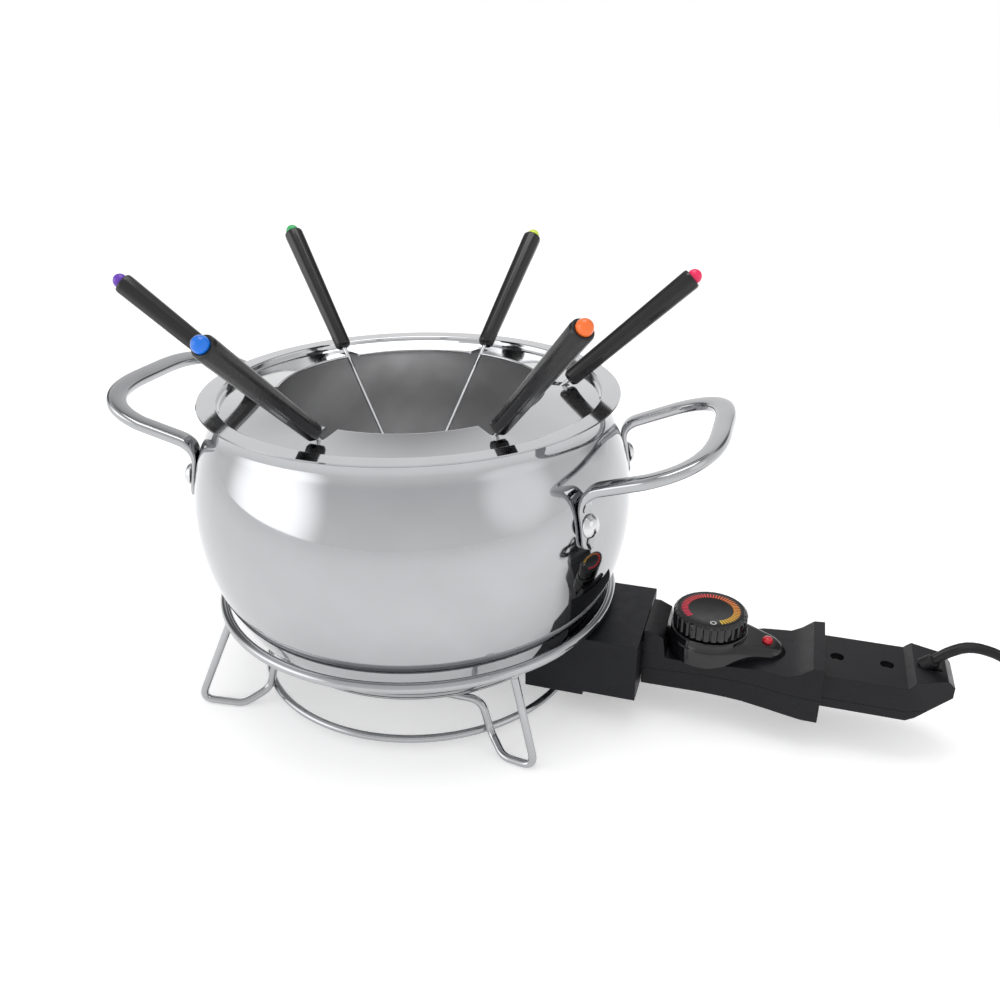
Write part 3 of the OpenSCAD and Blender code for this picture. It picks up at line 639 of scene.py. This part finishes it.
def fork(i):
    """Steel with two tines, a faceted grip and a coloured ball."""
    place = fork_place(i)
    body = f"fork_{i + 1}"
    side = place.to_3x3() @ Vector((0, 1, 0))
    bm = bmesh.new()
    split = TINE_LEN - STEEL_LEN

    def flare(t):
        flat = 0.9 * ease(t, 0.80, 0.83) * (1 - ease(t, 0.855, 0.88))
        return [(x * (1 - 0.5 * flat), y * (1 + 0.7 * flat)) for x, y in circle_section(1, 16)]

    shaft_end = GRIP_START + 26
    steps = 60
    sweep(bm, placed(place, [(0, 0, split + (shaft_end - split) * k / steps)
                             for k in range(steps + 1)]), flare, up=side)
    for s in (-1, 1):
        line = [(0, 0, split + 0.5), (0, s * 0.35, split - 0.6), (0, s * 0.85, split - 2.2),
                (0, s * 1.1, split - 4.5), (0, s * 1.1, split - 10), (0, s * 1.1, -STEEL_LEN + 3),
                (0, s * 1.1, -STEEL_LEN)]

        def tine(t):
            return circle_section(0.62 - 0.14 * t - 0.4 * ease(t, 0.84, 1), 12)

        sweep(bm, smooth_path(placed(place, line), 6), tine, up=side)
    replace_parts(finish_piece(f"fork_steel_{i + 1}", bm, [STEEL], body, 50), f"fork_shaft_{i + 1}")

    bm = bmesh.new()
    profile = [(1.06, GRIP_START + 0.5), (1.3, GRIP_START), (3.0, GRIP_START),
               (3.3, GRIP_START + 0.15), (4.15, GRIP_START + 1.5), (4.25, GRIP_START + 2)]
    profile += [(4.25 + 0.85 * k / 12, GRIP_START + 2 + 70.4 * k / 12) for k in range(1, 13)]
    profile += [(5.0, GRIP_END - 0.9), (4.6, GRIP_END - 0.2), (3.9, GRIP_END), (3.6, GRIP_END)]
    profile += [(3.4, GRIP_END - 1.2), (2.0, GRIP_END - 2.9), (1.06, GRIP_END - 3)]

    def facets(a, index):
        return 1 - 0.035 * (1 - abs(cos(4 * a))) if 4 <= index <= 18 else 1

    lathe(bm, profile, place, 64, facets)
    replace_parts(finish_piece(f"fork_handle_{i + 1}", bm, [GRIP], body, 40), f"fork_grip_{i + 1}")

    bm = bmesh.new()
    round_part = [(r, z) for r, z in arc(0, 80.4, 3.45, -76, 90, 22) if r > 0.01]
    ball = [(0, 77.0)] + round_part + [(0, 83.85)]
    lathe(bm, ball, place, 48)
    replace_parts(finish_piece(f"fork_cap_{i + 1}", bm, [BALLS[i]], body, 60), f"fork_ball_{i + 1}")


# ------------------------------------------------------------------------- stand
HOOP_R, HOOP_Z, HOOP_D = 99.5, 48.1, 5.0
LOW_R, LOW_Z, WIRE_D = 81.7, 6.3, 3.8
RAIL_Z, RAIL_Y, RAIL_END = 23, 61, 54
HOOP_END_X = 72
FOOT_IN, FOOT_Y = 68, 74.5
FOOT_FAR, FOOT_NEAR = 91, 84


def hoop(name, node, radius, height, diameter):
    bm = bmesh.new()
    lathe(bm, [(radius + x, height + z) for x, z in circle_section(diameter / 2, 24)], steps=200)
    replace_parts(finish_piece(name, bm, [CHROME], POT, 60), node)


def leg_half(out):
    """Corners of one leg, from the middle of its rail to its end on the upper hoop."""
    hoop_y = sqrt(HOOP_R ** 2 - HOOP_END_X ** 2)
    foot_z = WIRE_D / 2
    weld = Vector((58, 61, 0)).normalized() * (LOW_R + WIRE_D - 0.2) + Vector((0, 0, LOW_Z))
    corners = [(0, RAIL_Y, RAIL_Z), (RAIL_END, RAIL_Y, RAIL_Z), weld,
               (FOOT_IN, FOOT_Y - 2.5, foot_z), (out, FOOT_Y, foot_z),
               (HOOP_END_X, hoop_y, HOOP_Z - HOOP_D / 2 + 0.8)]
    return rounded(corners, [0, 6, 5, 4, 7, 0], 10)


def leg(name, node, side):
    far = [Vector((-p.x, -side * p.y, p.z)) for p in leg_half(FOOT_FAR)]
    near = [Vector((p.x, -side * p.y, p.z)) for p in leg_half(FOOT_NEAR)]
    bm = bmesh.new()
    sweep(bm, list(reversed(far)) + near[1:], circle_section(WIRE_D / 2, 20))
    for end in (far, near):
        bead(bm, end[-1], 2.6)
    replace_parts(finish_piece(name, bm, [CHROME], POT, 60), node)


def bead(bm, centre, size):
    """A small weld bead, flattened a little and uneven."""
    profile = [(0, -size * 0.8)] + [(r, z * 0.8) for r, z in arc(0, 0, size, -80, 80, 10)]
    lathe(bm, profile + [(0, size * 0.8)], Matrix.Translation(centre), 20,
          lambda a, i: 1 + 0.06 * sin(3 * a + i))


# ----------------------------------------------------------------------- handles
PLATE_TURN, PLATE_R, PLATE_LOW = 24.3, 87.5, 101
PLATE_HIGH, BEND_Z, CURVE_X = 118, 126.8, 121
REACH, HALF, END_HALF, CLIMB = 147.5, 48, 9, 0.366


def on_turn(radius, height):
    """A point in the upright plane through a plate and the bowl's axis."""
    return Vector((radius * cos(radians(PLATE_TURN)), -radius * sin(radians(PLATE_TURN)), height))


def bezier(a, b, c, n):
    return [(1 - k / n) ** 2 * a + 2 * k / n * (1 - k / n) * b + (k / n) ** 2 * c
            for k in range(n + 1)]


def handle_path():
    """Up the bowl, over the bend, out and round to the other plate."""
    lean = [asin((z - WIDE_Z) / PLATE_R) for z in (PLATE_LOW, PLATE_HIGH)]
    flat = [on_turn(HIGH_C + PLATE_R * cos(a), WIDE_Z + PLATE_R * sin(a))
            for a in (lean[0] + (lean[1] - lean[0]) * k / 14 for k in range(15))]
    top = HIGH_C + PLATE_R * cos(lean[1])
    bend = on_turn(top - (BEND_Z - PLATE_HIGH) * sin(lean[1]) / cos(lean[1]), BEND_Z)
    curve = Vector((CURVE_X, 0.5 - HALF, BEND_Z + CLIMB * (CURVE_X - bend.x)))
    high = BEND_Z + CLIMB * (REACH - bend.x)
    out = (curve - bend).normalized()
    turn = bezier(flat[-1], bend, bend + 9 * out, 14)
    gap = curve - turn[-1]
    line = [turn[-1] + gap * k / 6 for k in range(1, 6)]
    loop = bezier(curve, Vector((REACH, -HALF, high)), Vector((REACH, -END_HALF, high)), 36)
    half = flat + turn[1:] + line + loop + [Vector((REACH, -END_HALF / 2, high))]
    return half + [Vector((p.x, -p.y, p.z)) for p in reversed(half)]


def handle(name, node, side):
    """Flat on the bowl at the plates and a rounded bar beyond them."""
    path = handle_path()
    bar = [min(1, max(0, (p.z - PLATE_HIGH + 1) / (BEND_Z - PLATE_HIGH + 2))) for p in path]
    ups = [(1 - k) * Vector((p.x, p.y, 0)).normalized() + k * Vector((CLIMB, 0, -1))
           for k, p in zip(bar, path)]
    flip = Matrix.Scale(side, 3, (1, 0, 0))
    total = sum((b - a).length for a, b in zip(path, path[1:]))

    def section(t):
        from_end = min(t, 1 - t) * total
        tip = sqrt(max(0.02, 1 - (1 - min(1, from_end / 4.2)) ** 2))
        wide = 4.65 * tip
        thick = 1.25 + 1.3 * ease(from_end, 17, 29)
        shape = []
        for i in range(32):
            a = 2 * pi * i / 32
            c, s = cos(a), sin(a)
            shape.append((wide * abs(c) ** 0.55 * (1 if c > 0 else -1),
                          thick * (abs(s) ** (0.55 if s < 0 else 0.7)) * (1 if s > 0 else -1)))
        return shape

    bm = bmesh.new()
    sweep(bm, [flip @ p for p in path], section, up=[flip @ u for u in ups])
    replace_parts(finish_piece(name, bm, [BAR], POT, 50), node)


RIVET_Z = 112


def rivets(name, node, side):
    """Two domed rivets, with a flatter head inside the bowl."""
    lean = asin((RIVET_Z - WIDE_Z) / PLATE_R)
    bm = bmesh.new()
    for s in (-1, 1):
        place = (Matrix.Rotation(radians(s * PLATE_TURN), 4, "Z")
                 @ Matrix.Translation((HIGH_C, 0, WIDE_Z)) @ Matrix.Rotation(pi / 2 - lean, 4, "Y")
                 @ Matrix.Translation((0, 0, PLATE_R)))
        if side < 0:
            place = Matrix.Scale(-1, 4, (1, 0, 0)) @ place
        dome = [(0, 4.5), (1.6, 4.4), (3.1, 3.95), (4.3, 3.15), (5.1, 2.2), (5.4, 1.55), (5.3, 1.3)]
        lathe(bm, dome + [(2.0, 1.3), (2.0, -2.8), (0, -2.8)], place, 48)
        lathe(bm, [(0, -4.05), (2.4, -3.95), (3.2, -3.5), (3.4, -2.7), (0, -2.65)], place, 32)
    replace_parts(finish_piece(name, bm, [STEEL], POT, 50), node)


# ----------------------------------------------------------------------- control
def dial():
    """Fluted knob with a recessed face, printed ticks and a zero."""
    cx = DIAL_AXIS[0] / MM
    place = Matrix.Translation((cx, 0, 0))
    bm = bmesh.new()
    outer = [(17.4, 46.0), (17.6, 46.4), (17.6, 52.2), (17.4, 52.9), (16.9, 53.5), (16.3, 53.95),
             (15.8, 54.0), (15.5, 53.75)]
    profile = outer + [(15.5, 53.6), (3.1, 53.6), (3.1, 46.6), (5.4, 46.6), (5.4, 52.4),
                       (15.0, 52.4), (15.0, 46.0)]

    def flutes(a, index):
        deep = (0.034, 0.037, 0.037, 0.03, 0.016, 0.005)
        wave = max(0, cos(30 * a)) ** 2
        return 1 - deep[index] * wave if index < len(deep) else 1

    lathe(bm, profile, place, 480, flutes)
    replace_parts(finish_piece("knob", bm, [GLOSS], DIAL, 30), "dial_knob")

    bm = bmesh.new()
    lathe(bm, [(0, 53.66), (15.4, 53.66), (15.4, 53.85), (15.2, 53.9), (11.0, 53.9),
               (10.8, 53.82), (0, 53.82)], place, 96)
    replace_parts(finish_piece("knob_face", bm, [PRINT], DIAL, 40), "dial_face")

    bm = bmesh.new()
    for i in range(TICKS):
        a = radians(INK_START + FIRST_TICK + TICK_SPAN * i / (TICKS - 1))
        turn = place @ Matrix.Rotation(a, 4, "Z")
        stroke(bm, turn, (10.6, 14.0), 0.4, INK_LOW, INK_HIGH)
    finish_piece("dial_ticks", bm, [INK], DIAL, 30)
    bm = bmesh.new()
    zero = place @ Matrix.Rotation(radians(INK_START), 4, "Z") @ Matrix.Translation((12.5, 0, 0))
    lathe(bm, [(1.5, INK_HIGH), (1.0, INK_HIGH), (1.0, INK_LOW), (1.5, INK_LOW)], zero, 32)
    finish_piece("dial_zero", bm, [WHITE_INK], DIAL, 30)


def stroke(bm, place, span, half, low, high):
    """A printed bar with rounded ends, lying along local X."""
    outline = [(x, y) for x, y in arc(span[1] - half, 0, half, -90, 90, 4)]
    outline += [(x, y) for x, y in arc(span[0] + half, 0, half, 90, 270, 4)]
    bottom = [bm.verts.new(place @ Vector((x, y, low))) for x, y in outline]
    top = [bm.verts.new(place @ Vector((x, y, high))) for x, y in outline]
    bm.faces.new(list(reversed(bottom)))
    bm.faces.new(top)
    for i in range(len(top)):
        j = (i + 1) % len(top)
        bm.faces.new((bottom[i], bottom[j], top[j], top[i]))


LENS_X = 178
DECK = [(132, 32), (152, 32.3), (176, 36.4), (189, 36.4)]


def deck(x):
    """Height of the control's upper shell under the bezel."""
    for (x0, z0), (x1, z1) in zip(DECK, DECK[1:]):
        if x <= x1:
            return z0 + (z1 - z0) * max(0, x - x0) / (x1 - x0)
    return DECK[-1][1]


def bezel():
    """Glossy mound that flows from a collar under the knob into a rounded tail."""
    cx = DIAL_AXIS[0] / MM
    collar, hole, wall_x = 18.2, 3.6, 132.1
    corners = arc(cx, 0, collar + 0.6, 69.9, 290.1, 60) + arc(178.5, 0, 8.5, -69.9, 69.9, 28)
    outline = []
    for a, b in zip(corners, corners[1:] + corners[:1]):
        a, b = Vector(a), Vector(b)
        steps = max(1, round((b - a).length / 1.2))
        outline += [a + (b - a) * k / steps for k in range(steps)]
    rings = [[Vector((max(wall_x, p.x), p.y, deck(p.x) - 0.1)) for p in outline]]
    for share in (0, 0.015, 0.04, 0.08, 0.13, 0.2, 0.3, 0.45, 0.65, 0.85, 1):
        ring = []
        for p in outline:
            a = atan2(p.y, p.x - cx)
            goal = Vector((cx + collar * cos(a), collar * sin(a)))
            q = p + (goal - p) * share
            top = 43.3 - 3.9 * ease(q.x, 163, 192) ** 0.8
            edge = 1 - min(1, (q - p).length / 5)
            ring.append(Vector((max(wall_x, q.x), q.y, top - 3.2 * edge ** 2.4)))
        rings.append(ring)
    for radius, height in ((collar, 44.3), (17.95, 44.8), (17.4, 45), (hole, 45), (hole, 40)):
        rings.append([Vector((cx + radius * (p.x - cx) / (p - Vector((cx, 0))).length,
                              radius * p.y / (p - Vector((cx, 0))).length, height))
                      for p in outline])
    bm = bmesh.new()
    rows = [[bm.verts.new(p) for p in ring] for ring in rings]
    for a, b in zip(rows, rows[1:] + rows[:1]):
        for i in range(len(a)):
            j = (i + 1) % len(a)
            bm.faces.new((a[i], a[j], b[j], b[i]))
    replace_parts(finish_piece("bezel", bm, [GLOSS], CONTROL, 50), "control_bezel")


def lens():
    """Domed red window on the bezel's tail."""
    bm = bmesh.new()
    dome = [(0, 43.4), (0.9, 43.3), (1.7, 42.95), (2.25, 42.4), (2.45, 41.8), (2.5, 39.1),
            (0, 39.1)]
    lathe(bm, dome, Matrix.Translation((LENS_X, 0, 0)), 40)
    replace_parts(finish_piece("window", bm, [RED_LENS], CONTROL, 50), "indicator_lens")


def control():
    """The shells, nose and shroud with softened edges, and the parts built here."""
    refined("control_top_shell", 1.9, SHELL)
    refined("control_bottom_shell", 1.5, SHELL)
    bezel()
    refined("control_nose", 0.5, SHELL)
    refined("connector_shroud", 1.2, SHROUD)
    lens()
    dial()


# ---------------------------------------------------------------------- the rest
def hidden_parts():
    """Materials for what the outer parts hide, and for small hardware."""
    for node, material in (
            ("heat_spreader", CAST), ("heating_element", SHEATH), ("terminal_pins", BRASS),
            ("probe_guide", ZINC), ("probe_rod", STEEL), ("contact_sleeves", BRASS),
            ("thermostat", PHENOLIC), ("shell_screws", ZINC), ("shroud_screws", ZINC),
            ("rail_clip_screws", ZINC), ("indicator_lamp", LAMP), ("dial_shaft", ZINC)):
        repaint(node, material)
    refined("rail_clips", 0.3, ZINC)


# ----------------------------------------------------------------- floor and light
def studio():
    """White floor, one soft lamp overhead and a white surround."""
    bm = bmesh.new()
    bmesh.ops.create_grid(bm, x_segments=2, y_segments=2, size=6000)
    floor = finish_piece("floor", bm, [floor_paint()], None)
    floor.location.z = -0.0002
    softbox("top", (0.0, 0.15, 1.4), (0.08, 0, 0), 0.8, 0.8, 6)
    sky()
    bpy.context.scene.view_settings.view_transform = "Standard"


def floor_paint():
    p = Paint("floor", (0.9, 0.9, 0.9), 0.75)
    p.tint(p.noise(3), (0.89, 0.89, 0.89), (0.91, 0.91, 0.91))
    p.shader.inputs["Emission Color"].default_value = (1, 1, 1, 1)
    p.shader.inputs["Emission Strength"].default_value = 0.35
    return p.material


def softbox(name, place, target, width, height, power):
    data = bpy.data.lights.new(name, "AREA")
    data.shape = "RECTANGLE"
    data.size, data.size_y, data.energy = width, height, power
    lamp = bpy.data.objects.new(name, data)
    lamp.location = place
    lamp.rotation_euler = (Vector(target) - Vector(place)).to_track_quat("-Z", "Y").to_euler()
    bpy.context.scene.collection.objects.link(lamp)


# Direction (degrees round and above the table), where the soft edge starts and ends
# (degrees from the middle), and brightness
CARDS = (
    (-146, 10, 4, 34, 2.4),    # softbox to the left of the camera
    (-12, 18, 6, 24, 1.3),     # weaker one to its right
    (58, 24, 3, 27, 0.15),     # dark cards behind, which outline the chrome
    (157, 24, 3, 27, 0.15),
    (108, 68, 6, 34, 0.3),
)


def sky():
    """White near the horizon and light grey overhead, with soft-edged cards."""
    world = bpy.data.worlds.new("studio")
    bpy.context.scene.world = world
    world.use_nodes = True
    nodes, links = world.node_tree.nodes, world.node_tree.links
    place = nodes.new("ShaderNodeTexCoord").outputs["Generated"]
    split = nodes.new("ShaderNodeSeparateXYZ")
    links.new(place, split.inputs[0])
    ramp = nodes.new("ShaderNodeValToRGB")
    ramp.color_ramp.elements[0].position = 0.05
    ramp.color_ramp.elements[0].color = (1, 1, 1, 1)
    ramp.color_ramp.elements[1].position = 0.6
    ramp.color_ramp.elements[1].color = (0.8, 0.8, 0.81, 1)
    links.new(split.outputs[2], ramp.inputs[0])
    light = ramp.outputs["Color"]
    for heading, height, inner, outer, value in CARDS:
        a, e = radians(heading), radians(height)
        dot = nodes.new("ShaderNodeVectorMath")
        dot.operation = "DOT_PRODUCT"
        dot.inputs[1].default_value = (cos(a) * cos(e), sin(a) * cos(e), sin(e))
        links.new(place, dot.inputs[0])
        edge = nodes.new("ShaderNodeMapRange")
        edge.interpolation_type = "SMOOTHSTEP"
        edge.inputs["From Min"].default_value = cos(radians(outer))
        edge.inputs["From Max"].default_value = cos(radians(inner))
        links.new(dot.outputs["Value"], edge.inputs["Value"])
        mix = nodes.new("ShaderNodeMix")
        mix.data_type = "RGBA"
        links.new(edge.outputs[0], mix.inputs["Factor"])
        links.new(light, mix.inputs["A"])
        mix.inputs["B"].default_value = (value, value, value * 1.005, 1)
        light = mix.outputs["Result"]
    links.new(light, nodes["Background"].inputs["Color"])
    nodes["Background"].inputs["Strength"].default_value = 1.0


# ------------------------------------------------------------------------ the set
camera()
lead()
bowl()
base()
fork_ring()
for number in range(6):
    fork(number)
hoop("upper_hoop", "stand_hoop", HOOP_R, HOOP_Z, HOOP_D)
hoop("lower_hoop", "stand_lower_hoop", LOW_R, LOW_Z, WIRE_D)
leg("front_leg", "leg_wire_front", 1)
leg("rear_leg", "leg_wire_rear", -1)
handle("right_handle", "side_handle_right", 1)
handle("left_handle", "side_handle_left", -1)
rivets("right_rivets", "handle_rivets_right", 1)
rivets("left_rivets", "handle_rivets_left", -1)
control()
hidden_parts()
studio()
